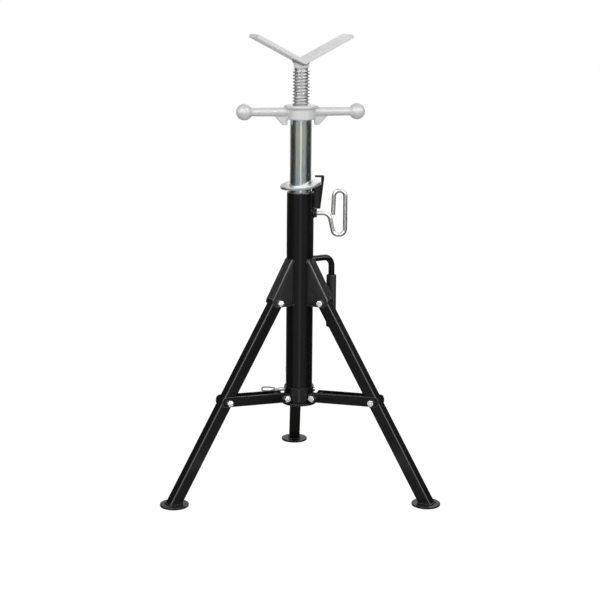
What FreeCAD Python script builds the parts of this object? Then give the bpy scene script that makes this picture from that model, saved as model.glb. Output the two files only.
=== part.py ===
import FreeCAD, Part
import math
import os
import re
import Sketcher
from FreeCAD import Placement, Rotation, Vector

# Folding tripod stand with a screw jack and a V-shaped pipe head. Millimetres, +Z up.
# The origin is on the floor, on the axis of the upright tube. The height pin is on the +X side,
# the legs stand at -150, -30 and +90 degrees from +X, and every foot's sole is at Z = 0.

doc = FreeCAD.newDocument("PipeStand")
sheet = doc.addObject("Spreadsheet::Sheet", "Sizes")

SIZES = [
    # upright tube welded to the three leg brackets
    ("outer_tube_dia", 60.3, "outside of the upright tube"),
    ("outer_tube_wall", 3.6, "its wall"),
    ("outer_tube_foot", 188.0, "height of its lower end"),
    ("outer_tube_top", 673.0, "height of its upper end"),
    ("stop_radius", 39.3, "round stop plate at the tube's foot"),
    ("stop_thick", 5.0, "its thickness"),
    ("stop_lift", 1.0, "tube end below the stop plate"),
    # sliding mast
    ("mast_play", 2.4, "gap between the upright tube and the mast, each side"),
    ("mast_dia", "=outer_tube_dia - 2 * (outer_tube_wall + mast_play)", "outside of the mast, 48.3"),
    ("mast_wall", 3.2, "its wall"),
    ("mast_top", 846.0, "height of its upper end"),
    ("mast_foot", 345.0, "height of its lower end"),
    ("hole_pitch", 50.0, "step between the height holes"),
    ("holes_above", 2.0, "height holes above the pin"),
    ("holes_below", 5.0, "height holes below the pin"),
    # height pin and its boss
    ("pin_dia", 9.6, "height pin rod"),
    ("pin_level", 625.5, "height of the pin's axis"),
    ("pin_back", 1.35, "tip clear of the mast, drawn back"),
    ("pin_fit", 0.3, "clearance round the pin"),
    ("boss_radius", 9.7, "boss on the tube"),
    ("boss_reach", 37.0, "boss face from the tube axis"),
    ("pin_turn_out", 62.0, "end of the pin's straight run"),
    ("pin_bow_in", 75.0, "handle bow, side next to the tube"),
    ("pin_bow_out", 101.0, "handle bow, outer side"),
    ("pin_bow_drop", 48.5, "bow's lowest centreline below the pin axis"),
    ("pin_bow_rise", 51.0, "bow's highest centreline above the pin axis"),
    ("pin_bow_heel", 9.75, "bend radius where the bow starts"),
    ("pin_bow_bend", 12.7, "bend radius of the bow's other corners"),
    ("pin_bow_lean", 1.0, "lean of the bow's inner run"),
    ("pin_end_gap", 6.0, "bow's free end above the pin axis"),
    # friction ring and the hook plate that carries it
    ("ring_dia", 90.0, "friction ring"),
    ("ring_thick", 6.0, "its thickness"),
    ("ring_play", 2.1, "its hole wider than the mast"),
    ("ring_tilt", 8.0, "tilt that grips the mast, degrees"),
    ("ring_high_side", 38.0, "direction of its high side from +X, degrees"),
    ("ring_seat_gap", 0.4, "ring above its seat in the hook"),
    ("hook_thick", 6.0, "hook plate"),
    ("hook_top", 711.0, "top of its lip"),
    ("hook_lip", 4.5, "lip thickness"),
    ("hook_lip_end", 32.2, "lip's free end from the tube axis"),
    ("hook_seat", 689.4, "seat that carries the ring"),
    ("hook_back_gap", 0.7, "ring rim to the back of the hook"),
    ("hook_out_top", 52.8, "outer edge at the top"),
    ("hook_out_foot", 44.7, "outer edge at the foot"),
    ("hook_over_boss", 0.6, "plate's lower end above the pin boss"),
    ("hook_foot", "=pin_level + boss_radius + hook_over_boss", "lower end of the hook plate, 635.8"),
    ("hook_round", 3.0, "outer top corner"),
    # carry handle
    ("handle_dia", 14.0, "carry handle rod"),
    ("handle_level", 519.0, "height of its root"),
    ("handle_reach", 85.0, "hand bar from the tube axis"),
    ("handle_bend", 20.0, "bend radius of the rod"),
    ("handle_azimuth", 30.0, "direction from +X, degrees"),
    ("grip_dia", 22.6, "rubber grip"),
    ("grip_top", 478.0, "height of its upper end"),
    ("grip_foot", 356.0, "height of its lower end"),
    ("grip_end", 4.0, "closed end of the grip"),
    ("grip_round", 3.0, "rounded ends of the grip"),
    # legs
    ("leg_angle", 31.4, "leg from the vertical, open, degrees"),
    ("leg_fold", 30.0, "turn from open to folded, degrees"),
    ("leg_width", 26.0, "square leg tube"),
    ("leg_wall", 2.0, "its wall"),
    ("leg_round", 3.5, "its outer corners"),
    ("leg_set_out", 2.0, "leg centreline outside the line of its pivots"),
    ("leg_head", 17.2, "rounded head of the leg about its pivot"),
    ("pivot_radius", 60.5, "upper pivot from the tube axis"),
    ("pivot_level", 428.0, "height of the upper pivot"),
    ("bush_dia", 14.0, "spacer tube in the leg at its pivot"),
    ("foot_dia", 63.5, "round foot"),
    ("foot_thick", 5.0, "its thickness"),
    ("foot_edge", 1.2, "rounded edge of the foot"),
    # leg brackets
    ("side_gap", 0.5, "clearance each side of the leg in its channels"),
    ("channel_wall", 2.5, "wall of the brackets and braces"),
    ("bracket_top", 523.0, "upper end of the bracket's web"),
    ("bracket_top_out", 0.35, "web's outer face there, off the tube"),
    ("bracket_top_radius", "=outer_tube_dia / 2 + bracket_top_out", "the same from the axis, 30.5"),
    ("bracket_foot", 437.0, "lower end of the web"),
    ("bracket_foot_radius", 79.0, "web's outer face there"),
    ("flange_foot", 419.0, "lower edge of the bracket's flanges"),
    ("flange_foot_in", 9.0, "its outer corner inside the web's lower end"),
    ("flange_round", 7.0, "rounded corners at the flange's foot"),
    ("web_hole_dia", 5.0, "drain holes in the web"),
    ("web_hole_end", 5.0, "their distance from the web's ends"),
    # braces between the collar and the legs
    ("brace_joint_down", 247.5, "outer brace pivot below the upper pivot, along the leg"),
    ("brace_below", 8.8, "brace below its pivot line"),
    ("brace_above", 13.6, "brace above its pivot line"),
    ("brace_slant", 3.0, "top edge starts this far past the inner pivot"),
    ("brace_end", 18.0, "flanges past the outer pivot"),
    ("brace_round", 9.0, "rounded outer ends of the flanges"),
    ("brace_heel", 8.5, "rounded lower inner corner"),
    ("web_start", 14.0, "brace web starts this far past the inner pivot"),
    ("web_stop", 62.0, "brace web ends this far short of the outer pivot"),
    # sliding collar
    ("collar_fit", 0.45, "clearance between the collar and the upright tube"),
    ("collar_wall", 3.2, "wall of the collar"),
    ("collar_foot_gap", 0.3, "collar above the stop plate"),
    ("collar_top", 229.0, "height of the collar's upper end"),
    ("collar_pivot_out", 11.85, "inner brace pivot from the upright tube"),
    ("collar_pivot_radius", "=outer_tube_dia / 2 + collar_pivot_out", "the same from the axis, 42"),
    ("collar_pivot_level", 206.5, "height of the inner brace pivot"),
    ("ear_thick", 3.0, "ear plates"),
    ("ear_round", 6.8, "ear plate about its pivot"),
    ("lock_level", 219.5, "height of the lock pin"),
    ("lock_dia", 8.0, "lock pin shank"),
    ("lock_tip_gap", 0.5, "tip to the upright tube, drawn back"),
    ("lock_throw", 4.2, "travel from locked to drawn back"),
    ("lock_head_dia", 10.0, "lock pin head"),
    ("lock_head_long", 8.0, "its length"),
    ("clip_wire", 3.0, "wire of the pull loop"),
    ("clip_reach", 38.0, "length of the pull loop beyond the head"),
    ("clip_height", 9.0, "height of the pull loop"),
    ("clip_bend", 4.3, "bend radius of its end"),
    ("screw_dia", 10.0, "guide screw opposite the lock pin"),
    ("screw_head", 3.2, "its head outside the collar"),
    # fasteners
    ("bolt_dia", 8.0, "pivot bolts"),
    ("bolt_fit", 0.3, "clearance round the bolts"),
    ("bolt_flats", 13.0, "hexagon across flats"),
    ("bolt_head", 5.3, "head height"),
    ("nut_high", 8.0, "locking nut height"),
    ("nut_hex_high", 5.6, "height of its hexagon"),
    ("nut_collar_dia", 12.0, "its round locking collar"),
    ("bolt_proud", 2.5, "bolt end beyond its nut"),
    # jack screw, nut and head
    ("screw_play", 1.95, "gap between the mast and the screw, each side"),
    ("thread_dia", "=mast_dia - 2 * (mast_wall + screw_play)", "trapezoidal thread, outside, 38"),
    ("thread_pitch", 7.0, "its pitch"),
    ("thread_deep", 4.0, "its depth"),
    ("thread_crest", 2.3, "width of its crest"),
    ("thread_flank", 15.0, "flank angle, degrees"),
    ("thread_bed", 0.5, "ridge sunk into the core"),
    ("thread_flank_gap", 0.3, "axial clearance at each flank of the nut"),
    ("thread_round_gap", 0.4, "radial clearance at crest and root"),
    ("screw_foot", 746.0, "lower end of the jack screw"),
    ("screw_top", 945.0, "upper end of its thread"),
    ("neck_dia", 34.0, "plain neck welded under the head"),
    ("nut_hub_dia", 62.8, "hub of the jack nut"),
    ("nut_rim_dia", 75.0, "its top rim"),
    ("nut_rim_thick", 7.0, "rim thickness"),
    ("nut_top", 866.5, "height of the nut's top"),
    ("nut_foot", 835.0, "height of the hub's lower end"),
    ("nut_seat_gap", 0.2, "nut above the mast's end"),
    ("nut_socket_gap", 0.4, "clearance round the mast in the nut's socket"),
    ("nut_arm_level", 852.0, "height of the arms"),
    ("nut_arm_root", 20.5, "arm diameter at the hub"),
    ("nut_arm_tip", 18.5, "arm diameter at the ball"),
    ("nut_ball_dia", 36.5, "ball on each arm"),
    ("nut_ball_radius", 127.0, "ball centre from the axis"),
    ("nut_turn", 10.0, "direction of the arms from +X, degrees"),
    ("fin_thick", 7.0, "fin under each arm"),
    ("fin_foot", 822.6, "height of the fin's lower edge"),
    ("fin_in", 31.0, "inner end of that edge"),
    ("fin_mid", 41.5, "outer end of that edge"),
    ("fin_out", 60.0, "where the fin runs out under the arm"),
    ("fin_tail_top", 5.1, "top of the fin's tail below the arm's axis"),
    ("fin_tail_foot", 9.2, "its lower corner below the arm's axis"),
    ("root_sink", 1.75, "roots of arms and fins inside the hub"),
    ("head_plate", 8.5, "V head plate"),
    ("head_width", 64.0, "width of the plate along the groove"),
    ("head_slope", 27.5, "slope of each arm, degrees"),
    ("head_span", 107.5, "arm's reach from the groove's middle"),
    ("head_vertex", 966.0, "height of the bottom of the groove"),
    ("head_turn", 16.5, "direction of the arms from +X, degrees"),
    ("head_corner", 3.0, "rounded corners of the arms"),
]

for row, (alias, size, note) in enumerate(SIZES, start=1):
    sheet.set(f"A{row}", alias)
    sheet.set(f"B{row}", str(size))
    sheet.set(f"C{row}", note)
    sheet.setAlias(f"B{row}", alias)
doc.recompute()

ALIASES = {alias for alias, size, note in SIZES}
LEG_AZIMUTHS = (-150.0, -30.0, 90.0)
UP = Vector(0, 0, 1)
nodes = []


def bound(formula):
    """The formula with each size named as a cell of the sheet."""
    return re.sub(r"[a-z_]+", lambda word: f"Sizes.{word[0]}" if word[0] in ALIASES else word[0], formula)


def num(formula):
    """The present value of a formula in sheet sizes; angles are in degrees."""
    answer = sheet.evalExpression(bound(formula))
    return float(getattr(answer, "Value", answer))


def node(feature, label):
    """Marks a finished feature as a part of its own and names it."""
    feature.Label = label
    nodes.append(feature)
    return feature


def turned(azimuth, x=0.0, y=0.0, z=0.0):
    """Placement of a point given in the frame of one leg, turned about the tube's axis."""
    spin = Rotation(UP, azimuth)
    return Placement(spin.multVec(Vector(x, y, z)), spin)


def primitive(kind, name, place=None, **sizes):
    """A Part primitive whose sizes are formulas in the sheet."""
    feature = doc.addObject(f"Part::{kind}", name)
    for size, formula in sizes.items():
        feature.setExpression(size, bound(formula))
    feature.Placement = place or Placement()
    return feature


def along_x(x, y, z):
    """Placement that lays a cylinder's axis along +X, starting at the point."""
    return Placement(Vector(x, y, z), Rotation(Vector(0, 1, 0), 90))


def along_y(x, y, z):
    """Placement that lays a cylinder's axis along +Y, starting at the point."""
    return Placement(Vector(x, y, z), Rotation(Vector(1, 0, 0), -90))


def cut(base, *tools):
    """The base with every tool taken away."""
    for tool in tools:
        feature = doc.addObject("Part::Cut", f"{base.Name}_cut")
        feature.Base = base
        feature.Tool = tool
        base = feature
    return base


def fuse(name, *parts):
    """One solid made of the parts."""
    feature = doc.addObject("Part::MultiFuse", name)
    feature.Shapes = list(parts)
    feature.Refine = True
    return feature


def group(label, *parts):
    """Separate like solids that share one node."""
    feature = doc.addObject("Part::Compound", label)
    feature.Links = list(parts)
    return node(feature, label)


def rounded(base, radius, near):
    """The base with the edges that pass the test rounded."""
    doc.recompute()
    feature = doc.addObject("Part::Fillet", f"{base.Name}_round")
    feature.Base = base
    size = num(radius)
    edges = [number for number, edge in enumerate(base.Shape.Edges, start=1) if near(edge)]
    feature.Edges = [(number, size, size) for number in edges]
    return feature


def outline(body, plane, corners):
    """A closed sketch of straight sides through corners given as pairs of formulas."""
    sketch = body.newObject("Sketcher::SketchObject", f"{body.Name}_outline")
    origin = body.Origin.OriginFeatures
    sketch.AttachmentSupport = [(next(part for part in origin if part.Role == plane), "")]
    sketch.MapMode = "FlatFace"
    points = [Vector(num(along), num(up), 0) for along, up in corners]
    for start, end in zip(points, points[1:] + points[:1]):
        sketch.addGeometry(Part.LineSegment(start, end), False)
    last = len(corners) - 1
    for side in range(len(corners)):
        following = 0 if side == last else side + 1
        sketch.addConstraint(Sketcher.Constraint("Coincident", side, 2, following, 1))
    for side, (along, up) in enumerate(corners):
        for axis, formula in (("DistanceX", along), ("DistanceY", up)):
            tie = Sketcher.Constraint(axis, -1, 1, side, 1, num(formula))
            index = sketch.addConstraint(tie)
            sketch.setExpression(f"Constraints[{index}]", bound(formula))
    return sketch


def circle(body, plane, along, up, radius):
    """A sketch of one circle."""
    sketch = body.newObject("Sketcher::SketchObject", f"{body.Name}_circle")
    origin = body.Origin.OriginFeatures
    sketch.AttachmentSupport = [(next(part for part in origin if part.Role == plane), "")]
    sketch.MapMode = "FlatFace"
    centre = Vector(num(along), num(up), 0)
    sketch.addGeometry(Part.Circle(centre, Vector(0, 0, 1), num(radius)), False)
    for axis, formula in (("DistanceX", along), ("DistanceY", up)):
        index = sketch.addConstraint(Sketcher.Constraint(axis, -1, 1, 0, 3, num(formula)))
        sketch.setExpression(f"Constraints[{index}]", bound(formula))
    index = sketch.addConstraint(Sketcher.Constraint("Radius", 0, num(radius)))
    sketch.setExpression(f"Constraints[{index}]", bound(radius))
    return sketch


def pad(body, sketch, width):
    """The sketch thickened evenly to both sides of its plane."""
    feature = body.newObject("PartDesign::Pad", f"{body.Name}_pad")
    feature.Profile = sketch
    feature.Midplane = True
    feature.setExpression("Length", bound(width))
    body.Tip = feature
    return feature


def pocket(body, sketch, width):
    """The sketch cut out evenly to both sides of its plane."""
    feature = body.newObject("PartDesign::Pocket", f"{body.Name}_pocket")
    feature.Profile = sketch
    feature.Midplane = True
    feature.setExpression("Length", bound(width))
    body.Tip = feature
    return feature


def fillet(body, radius, near):
    """The body's edges that pass the test rounded."""
    doc.recompute()
    base = body.Tip
    names = [f"Edge{number}" for number, edge in enumerate(base.Shape.Edges, start=1) if near(edge)]
    feature = body.newObject("PartDesign::Fillet", f"{body.Name}_fillet")
    feature.Base = (base, names)
    feature.setExpression("Radius", bound(radius))
    body.Tip = feature
    return feature


def crosswise(edge, x, z, reach=0.6):
    """True for a straight edge along Y that passes the point (x, z)."""
    ends = [vertex.Point for vertex in edge.Vertexes]
    return all(math.hypot(end.x - x, end.z - z) < reach for end in ends)


def bent_rod(name, dia, points, bends):
    """A round rod along straight runs joined by tangent arcs of the given radii."""
    edges = []
    start = points[0]
    for corner, after, radius in zip(points[1:-1], points[2:], bends):
        back = (start - corner).normalize()
        ahead = (after - corner).normalize()
        half = math.pi / 2 - back.getAngle(ahead) / 2
        enter = corner + back * (radius * math.tan(half))
        leave = corner + ahead * (radius * math.tan(half))
        middle = corner + (back + ahead).normalize() * (radius / math.cos(half) - radius)
        if (enter - start).Length > 1e-6:
            edges.append(Part.LineSegment(start, enter).toShape())
        edges.append(Part.Arc(enter, middle, leave).toShape())
        start = leave
    edges.append(Part.LineSegment(start, points[-1]).toShape())
    path = Part.Wire(edges)
    section = Part.Wire(Part.Circle(points[0], points[1] - points[0], dia / 2).toShape())
    feature = doc.addObject("Part::Feature", name)
    feature.Shape = path.makePipeShell([section], True, False)
    return feature


def helical_ridge(name, foot, top, round_gap, flank_gap):
    """A trapezoidal thread ridge wound from foot to top, thickened by the two gaps."""
    root = num("thread_dia / 2 - thread_deep - thread_bed")
    crest = num("thread_dia / 2") + round_gap
    half = {}
    for radius in (root, crest):
        lean = (num("thread_dia / 2") - radius) * num("tan(thread_flank)")
        half[radius] = num("thread_crest / 2") + lean + flank_gap
    corners = [
        Vector(root, 0, -half[root]),
        Vector(crest, 0, -half[crest]),
        Vector(crest, 0, half[crest]),
        Vector(root, 0, half[root]),
    ]
    section = Part.makePolygon(corners + corners[:1])
    path = Part.makeHelix(num("thread_pitch"), top - foot, root)
    feature = doc.addObject("Part::Feature", name)
    feature.Shape = path.makePipeShell([section], True, True)
    feature.Placement = Placement(Vector(0, 0, foot), Rotation())
    return feature


# Upright tube: one hole for the height pin, and two for the lock pin, legs open and legs folded.

folded_angle = num("leg_angle - leg_fold")
open_down = num("brace_joint_down * cos(leg_angle)")
open_out = num("brace_joint_down * sin(leg_angle)")
brace_rise = num("pivot_level - collar_pivot_level") - open_down
brace_run = num("pivot_radius - collar_pivot_radius") + open_out
brace_long = math.hypot(brace_run, brace_rise)
brace_angle = math.degrees(math.atan2(brace_rise, brace_run))
folded_run = num("pivot_radius - collar_pivot_radius + brace_joint_down * sin(leg_angle - leg_fold)")
folded_joint = num("pivot_level - brace_joint_down * cos(leg_angle - leg_fold)")
folded_rise = math.sqrt(brace_long ** 2 - folded_run ** 2)
collar_travel = folded_joint + folded_rise - num("collar_pivot_level")

tube_long = "outer_tube_top - outer_tube_foot"
tube = primitive("Cylinder", "upright", turned(0, z=num("outer_tube_foot")),
                 Radius="outer_tube_dia / 2", Height=tube_long)
tube_bore = primitive("Cylinder", "upright_bore", turned(0, z=num("outer_tube_foot")),
                      Radius="outer_tube_dia / 2 - outer_tube_wall", Height=tube_long)
pin_hole = primitive("Cylinder", "pin_hole", along_x(0, 0, num("pin_level")),
                     Radius="pin_dia / 2 + pin_fit", Height="outer_tube_dia")
lock_holes = []
for lift in (0.0, collar_travel):
    level = num("lock_level") + lift
    lock_holes.append(primitive("Cylinder", "lock_hole", along_x(-num("outer_tube_dia"), 0, level),
                                Radius="lock_dia / 2 + pin_fit", Height="outer_tube_dia"))
node(cut(tube, tube_bore, pin_hole, *lock_holes), "outer_tube")


def tube_clearance(name, extra="0"):
    """A long cylinder of the upright tube's size, to shape what is welded to the tube."""
    return primitive("Cylinder", name, Radius=f"outer_tube_dia / 2 + {extra}", Height="hook_top * 2")


stop = primitive("Cylinder", "stop_disc", turned(0, z=num("outer_tube_foot + stop_lift")),
                 Radius="stop_radius", Height="stop_thick")
node(cut(stop, tube_clearance("stop_hole")), "base_stop")

# Leg brackets: a bent channel whose web lies outside the leg and whose flanges run in to the tube.

channel_inside = "leg_width + 2 * side_gap"
channel_outside = "leg_width + 2 * side_gap + 2 * channel_wall"
web_angle = "atan((bracket_foot_radius - bracket_top_radius) / (bracket_top - bracket_foot))"
web_depth = f"channel_wall / cos({web_angle})"


def leg_bracket(number, azimuth):
    """One bracket, drawn in the plane of its leg."""
    body = doc.addObject("PartDesign::Body", f"bracket_channel_{number}")
    side = [
        ("0", "bracket_top"),
        ("bracket_top_radius", "bracket_top"),
        ("bracket_foot_radius", "bracket_foot"),
        ("bracket_foot_radius", "bracket_foot - flange_foot_in"),
        ("bracket_foot_radius - flange_foot_in", "flange_foot"),
        ("0", "flange_foot"),
    ]
    pad(body, outline(body, "XZ_Plane", side), channel_outside)
    overrun = "4 * channel_wall"
    inside = [
        (f"0 - {overrun}", f"bracket_top + {overrun}"),
        (f"bracket_top_radius - {web_depth} - {overrun} * tan({web_angle})", f"bracket_top + {overrun}"),
        (f"bracket_foot_radius - {web_depth}", "bracket_foot"),
        (f"bracket_foot_radius + {overrun}", "bracket_foot"),
        (f"bracket_foot_radius + {overrun}", f"flange_foot - {overrun}"),
        (f"0 - {overrun}", f"flange_foot - {overrun}"),
    ]
    pocket(body, outline(body, "XZ_Plane", inside), channel_inside)
    pocket(body, circle(body, "XZ_Plane", "pivot_radius", "pivot_level", "bolt_dia / 2 + bolt_fit"),
           f"2 * ({channel_outside})")
    fillet(body, "flange_round", lambda edge: crosswise(
        edge, num("bracket_foot_radius - flange_foot_in"), num("flange_foot")))
    pocket(body, circle(body, "XY_Plane", "0", "0", "outer_tube_dia / 2"), "4 * bracket_top")
    body.Placement = turned(azimuth)
    return body


def web_drains(azimuth):
    """The two small holes square to the bracket's web, one near each end."""
    slope = num(web_angle)
    down = Vector(math.sin(math.radians(slope)), 0, -math.cos(math.radians(slope)))
    outward = Vector(math.cos(math.radians(slope)), 0, math.sin(math.radians(slope)))
    top = Vector(num("bracket_top_radius"), 0, num("bracket_top"))
    foot = Vector(num("bracket_foot_radius"), 0, num("bracket_foot"))
    drains = []
    for spot in (top + down * num("web_hole_end"), foot - down * num("web_hole_end")):
        start = spot + outward * num("channel_wall")
        lay = Placement(start, Rotation(UP, outward * -1))
        drains.append(primitive("Cylinder", "drain", turned(azimuth).multiply(lay),
                                Radius="web_hole_dia / 2", Height="3 * channel_wall"))
    return drains


for number, azimuth in enumerate(LEG_AZIMUTHS, start=1):
    node(cut(leg_bracket(number, azimuth), *web_drains(azimuth)), f"leg_bracket_{number}")

# Hook plate: a flat plate on edge, with a notch that carries the ring under a short lip.

hook = doc.addObject("PartDesign::Body", "ring_hook")
notch_back = "ring_dia / 2 + hook_back_gap"
hook_side = [
    ("hook_lip_end", "hook_top"),
    ("hook_out_top", "hook_top"),
    ("hook_out_top", "hook_top - hook_round - hook_lip"),
    ("hook_out_foot", "hook_foot"),
    ("0", "hook_foot"),
    ("0", "hook_seat"),
    (notch_back, "hook_seat"),
    (notch_back, "hook_top - hook_lip"),
    ("hook_lip_end", "hook_top - hook_lip"),
]
pad(hook, outline(hook, "XZ_Plane", hook_side), "hook_thick")
pocket(hook, circle(hook, "XY_Plane", "0", "0", "outer_tube_dia / 2"), "4 * hook_top")
fillet(hook, "hook_round", lambda edge: crosswise(edge, num("hook_out_top"), num("hook_top")))
node(hook, "ring_hook")

boss = primitive("Cylinder", "boss", along_x(num("outer_tube_dia / 4"), 0, num("pin_level")),
                 Radius="boss_radius", Height="boss_reach - outer_tube_dia / 4")
boss_bore = primitive("Cylinder", "boss_bore", along_x(0, 0, num("pin_level")),
                      Radius="pin_dia / 2 + pin_fit", Height="2 * boss_reach")
node(cut(boss, tube_clearance("boss_seat"), boss_bore), "pin_boss")

# Carry handle: a bent rod welded to the tube, and a rubber grip pushed on its hanging end.

handle_points = [
    Vector(num("outer_tube_dia / 4"), 0, num("handle_level")),
    Vector(num("handle_reach"), 0, num("handle_level")),
    Vector(num("handle_reach"), 0, num("grip_foot + grip_end")),
]
handle_rod = bent_rod("handle_rod", num("handle_dia"), handle_points, [num("handle_bend")])
handle_rod.Placement = turned(num("handle_azimuth"))
node(cut(handle_rod, tube_clearance("handle_seat")), "carry_handle")
grip_place = turned(num("handle_azimuth"), num("handle_reach"), 0, num("grip_foot"))
grip_body = primitive("Cylinder", "grip_body", grip_place,
                      Radius="grip_dia / 2", Height="grip_top - grip_foot")
grip_body = rounded(grip_body, "grip_round", lambda edge: edge.Curve.TypeId == "Part::GeomCircle")
bore_place = turned(num("handle_azimuth"), num("handle_reach"), 0, num("grip_foot + grip_end"))
grip_bore = primitive("Cylinder", "grip_bore", bore_place,
                      Radius="handle_dia / 2", Height="grip_top - grip_foot")
node(cut(grip_body, grip_bore), "handle_grip")

# Fasteners: hexagon bolts with locking nuts, their axes along Y of the leg's own plane.


def hexagon(name, high, place):
    """A hexagonal prism with two flats level."""
    feature = primitive("Prism", name, place, Circumradius="bolt_flats / 2 / cos(30)", Height=high)
    feature.Polygon = 6
    return feature


def flat_up(place):
    """The placement turned so that the hexagon's flats lie level."""
    return place.multiply(Placement(Vector(), Rotation(UP, 30)))


def bolt(name, x, y, z, azimuth, shank):
    """A bolt whose head starts at y and points to -Y; the shank runs to +Y."""
    seat = turned(azimuth).multiply(along_y(x, y, z))
    back = turned(azimuth).multiply(along_y(x, y - num("bolt_head"), z))
    head = hexagon(f"{name}_head", "bolt_head", flat_up(back))
    stem = primitive("Cylinder", f"{name}_stem", seat, Radius="bolt_dia / 2", Height=shank)
    return fuse(name, head, stem)


def nut(name, x, y, z, azimuth):
    """A locking nut that starts at y and points to +Y: a hexagon with a round collar."""
    seat = turned(azimuth).multiply(along_y(x, y, z))
    hexagonal = hexagon(f"{name}_hex", "nut_hex_high", flat_up(seat))
    ring = primitive("Cylinder", f"{name}_ring", seat, Radius="nut_collar_dia / 2", Height="nut_high")
    hole = primitive("Cylinder", f"{name}_hole", seat, Radius="bolt_dia / 2", Height="2 * nut_high")
    return cut(fuse(name, hexagonal, ring), hole)


def bolt_set(label, x, z):
    """Three through bolts and their nuts, one pair for each leg."""
    half = num(channel_outside) / 2
    grip = f"({channel_outside}) + nut_high + bolt_proud"
    bolts = [bolt(f"{label}_bolt", x, -half, z, azimuth, grip) for azimuth in LEG_AZIMUTHS]
    nuts = [nut(f"{label}_nut", x, half, z, azimuth) for azimuth in LEG_AZIMUTHS]
    group(f"{label}_bolts", *bolts)
    group(f"{label}_nuts", *nuts)


bolt_set("pivot", num("pivot_radius"), num("pivot_level"))
bolt_set("collar", num("collar_pivot_radius"), num("collar_pivot_level"))

# Mast: slides in the upright tube; a row of cross holes takes the height pin.

mast = primitive("Cylinder", "mast", turned(0, z=num("mast_foot")),
                 Radius="mast_dia / 2", Height="mast_top - mast_foot")
mast_bore = primitive("Cylinder", "mast_bore", turned(0, z=num("mast_foot")),
                      Radius="mast_dia / 2 - mast_wall", Height="mast_top - mast_foot")
height_holes = []
for step in range(-int(num("holes_below")), int(num("holes_above")) + 1):
    level = num("pin_level") + step * num("hole_pitch")
    height_holes.append(primitive("Cylinder", "height_hole", along_x(-num("mast_dia"), 0, level),
                                  Radius="pin_dia / 2 + pin_fit", Height="2 * mast_dia"))
node(cut(mast, mast_bore, *height_holes), "mast_tube")

# Friction ring: tilted on its seat so that the rim of its hole bites the mast.

ring_axis = Rotation(UP, num("ring_high_side") + 90).multVec(Vector(1, 0, 0))
ring_up = Rotation(ring_axis, -num("ring_tilt"))
seat_spot = ring_up.multVec(Vector(num("outer_tube_dia / 2"), 0, -num("ring_thick / 2")))
ring_centre = Vector(0, 0, num("hook_seat + ring_seat_gap") - seat_spot.z)
ring_place = Placement(ring_centre, ring_up)
ring_disc = primitive("Cylinder", "ring_disc", Radius="ring_dia / 2", Height="ring_thick")
ring_hole = primitive("Cylinder", "ring_hole", Radius="(mast_dia + ring_play) / 2",
                      Height="ring_thick")
ring_plate = cut(ring_disc, ring_hole)
ring_plate.Placement = ring_place.multiply(Placement(Vector(0, 0, -num("ring_thick / 2")), Rotation()))
node(ring_plate, "friction_ring")

# Height pin: a rod bent back into a closed hand bow; shown drawn back, clear of the mast.

low = num("pin_level - pin_bow_drop")
high = num("pin_level + pin_bow_rise")
pin_points = [
    Vector(num("mast_dia / 2 + pin_back"), 0, num("pin_level")),
    Vector(num("pin_turn_out"), 0, num("pin_level")),
    Vector(num("pin_bow_in + pin_bow_lean"), 0, low),
    Vector(num("pin_bow_out"), 0, low),
    Vector(num("pin_bow_out"), 0, high),
    Vector(num("pin_bow_in"), 0, high),
    Vector(num("pin_bow_in - pin_bow_lean"), 0, num("pin_level + pin_end_gap")),
]
pin_bends = [num("pin_dia"), num("pin_bow_heel")] + [num("pin_bow_bend")] * 3
node(bent_rod("height_pin", num("pin_dia"), pin_points, pin_bends), "height_pin")

# Legs: square tube with a rounded head at the pivot, a spacer in the head and a welded round foot.

leg_slope = Rotation(Vector(0, 1, 0), -num("leg_angle"))
leg_drop = "(pivot_level + leg_set_out * sin(leg_angle) - foot_thick) / cos(leg_angle)"
foot_radius = num(f"pivot_radius + leg_set_out * cos(leg_angle) + {leg_drop} * sin(leg_angle)"
                  " - foot_thick * tan(leg_angle) / 2")


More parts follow.
